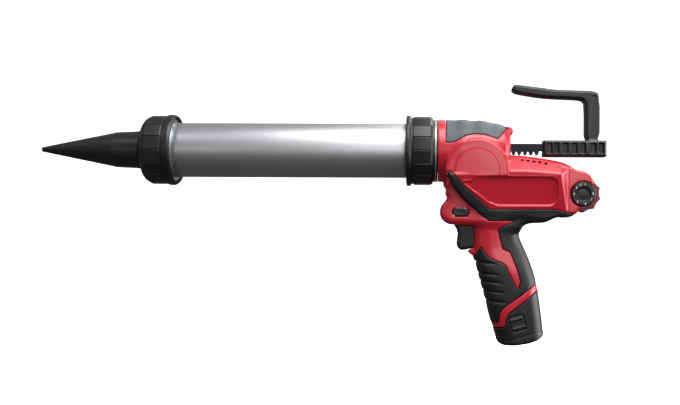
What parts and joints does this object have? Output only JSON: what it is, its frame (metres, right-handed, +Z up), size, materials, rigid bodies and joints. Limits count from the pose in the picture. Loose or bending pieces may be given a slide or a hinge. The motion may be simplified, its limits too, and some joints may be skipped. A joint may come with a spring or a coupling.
{
  "type": "caulking gun",
  "caption": "Cordless caulking gun for foil packs with a long metal barrel, cone nozzle, pistol grip, geared rack and pull handle.",
  "frame": {"origin": "middle of the pistol grip, where the hand closes", "axes": "+X to the rear along the barrel, +Y to the tool's right, +Z up"},
  "size_m": [0.5635, 0.0704, 0.2582],
  "materials": {
    "red": "glossy moulded plastic",
    "dark_red": "moulded plastic",
    "black": "satin glass-filled plastic",
    "overmould_black": "soft textured overmould",
    "overmould_grey": "soft overmould",
    "aluminium": "satin drawn tube",
    "steel": "machined",
    "dark_steel": "black oxide",
    "bronze": "sintered bronze",
    "board": "circuit board",
    "cell": "wrapped cell"
  },
  "bodies": {
    "housing": {"housing_left": "red", "housing_right": "red", "top_pad_left": "overmould_grey", "top_pad_right": "overmould_grey", "bumper_left": "overmould_black", "bumper_right": "overmould_black", "grip_pad_left": "overmould_black", "grip_pad_right": "overmould_black", "housing_screw_1": "steel", "housing_screw_2": "steel", "housing_screw_3": "steel", "housing_screw_4": "steel", "housing_screw_5": "steel", "drive_bush_left": "bronze", "drive_bush_right": "bronze", "lay_bush_left": "bronze", "lay_bush_right": "bronze", "rack_guide": "black", "motor_case": "steel", "gearbox_case": "dark_steel", "switch_body": "black", "control_board": "board", "terminal_block": "black", "dial_sensor": "black"},
    "swivel": {"nose_adapter": "black", "adapter_trim_ring": "aluminium", "swivel_clip": "steel"},
    "barrel": {"barrel_tube": "aluminium", "front_thread_ring": "black", "rear_flange_ring": "black"},
    "rear_collar": {"rear_collar": "black"},
    "nozzle": {"nozzle": "black"},
    "front_collar": {"front_collar": "black"},
    "plunger": {"rack": "dark_steel", "piston": "black", "piston_seal": "overmould_black", "piston_screw": "steel", "pull_handle": "black", "handle_screw_front": "steel", "handle_screw_rear": "steel"},
    "drive": {"drive_shaft": "steel", "rack_pinion": "steel", "spur_wheel": "steel"},
    "layshaft": {"lay_shaft": "steel", "lay_pinion": "steel", "crown_wheel": "steel"},
    "output": {"output_pinion": "steel"},
    "trigger": {"trigger": "black", "switch_plunger": "steel"},
    "lock_button": {"lock_button": "black"},
    "dial": {"speed_dial": "dark_red", "dial_face_left": "black", "dial_face_right": "black"},
    "battery": {"battery_case": "black", "battery_cell_1": "cell", "battery_cell_2": "cell", "battery_cell_3": "cell"},
    "latch_left": {"latch_left": "black"},
    "latch_right": {"latch_right": "black"}
  },
  "joints": [
    {"name": "rack_slide", "type": "slide", "parent": "housing", "child": "plunger", "axis": [1, 0, 0], "range_m": [-0.011, 0.215]},
    {"name": "drive_spin", "type": "hinge", "parent": "housing", "child": "drive", "pos_m": [-0.028, 0, 0.104], "axis": [0, 1, 0], "range_deg": [-35.4, 674]},
    {"name": "layshaft_spin", "type": "hinge", "parent": "housing", "child": "layshaft", "pos_m": [-0.00375, 0, 0.09], "axis": [0, 1, 0], "range_deg": [-2468.8, 127.3]},
    {"name": "output_spin", "type": "hinge", "parent": "housing", "child": "output", "pos_m": [0.014, 0, 0.09], "axis": [1, 0, 0], "range_deg": [-4231.6, 217.4]},
    {"name": "trigger_pull", "type": "slide", "parent": "housing", "child": "trigger", "axis": [1, 0, 0], "range_m": [0, 0.006], "stiffness_N_per_m": 1500, "springref_m": -0.002},
    {"name": "lock_push", "type": "slide", "parent": "housing", "child": "lock_button", "axis": [0, 1, 0], "range_m": [-0.0025, 0.0025]},
    {"name": "dial_turn", "type": "hinge", "parent": "housing", "child": "dial", "pos_m": [0.077, 0, 0.0814], "axis": [0, 1, 0], "range_deg": [0, 280]},
    {"name": "barrel_swivel", "type": "hinge", "parent": "housing", "child": "swivel", "pos_m": [-0.066, 0, 0.124], "axis": [1, 0, 0], "continuous": true},
    {"name": "barrel_slide", "type": "slide", "parent": "swivel", "child": "barrel", "axis": [-1, 0, 0], "range_m": [0, 0.0091]},
    {"name": "rear_collar_turn", "type": "hinge", "parent": "barrel", "child": "rear_collar", "pos_m": [-0.084, 0, 0.124], "axis": [-1, 0, 0], "range_deg": [0, 1080]},
    {"name": "nozzle_slide", "type": "slide", "parent": "barrel", "child": "nozzle", "axis": [-1, 0, 0], "range_m": [0, 0.0121]},
    {"name": "front_collar_turn", "type": "hinge", "parent": "nozzle", "child": "front_collar", "pos_m": [-0.342, 0, 0.124], "axis": [-1, 0, 0], "range_deg": [0, 1080]},
    {"name": "battery_slide", "type": "slide", "parent": "housing", "child": "battery", "axis": [0.2672, 0, -0.9636], "range_m": [0, 0.065]},
    {"name": "latch_left_press", "type": "slide", "parent": "battery", "child": "latch_left", "axis": [0, 1, 0], "range_m": [0, 0.0015], "stiffness_N_per_m": 900, "springref_m": -0.001},
    {"name": "latch_right_press", "type": "slide", "parent": "battery", "child": "latch_right", "axis": [0, -1, 0], "range_m": [0, 0.0015], "stiffness_N_per_m": 900, "springref_m": -0.001}
  ],
  "couplings": [
    {"joint": "drive_spin", "follows": "rack_slide", "rad_per_m": 54.636},
    {"joint": "layshaft_spin", "follows": "rack_slide", "rad_per_m": -200.33},
    {"joint": "output_spin", "follows": "rack_slide", "rad_per_m": -343.43},
    {"joint": "barrel_slide", "follows": "rear_collar_turn", "m_per_rad": 0.00047746},
    {"joint": "nozzle_slide", "follows": "front_collar_turn", "m_per_rad": 0.00063662}
  ]
}
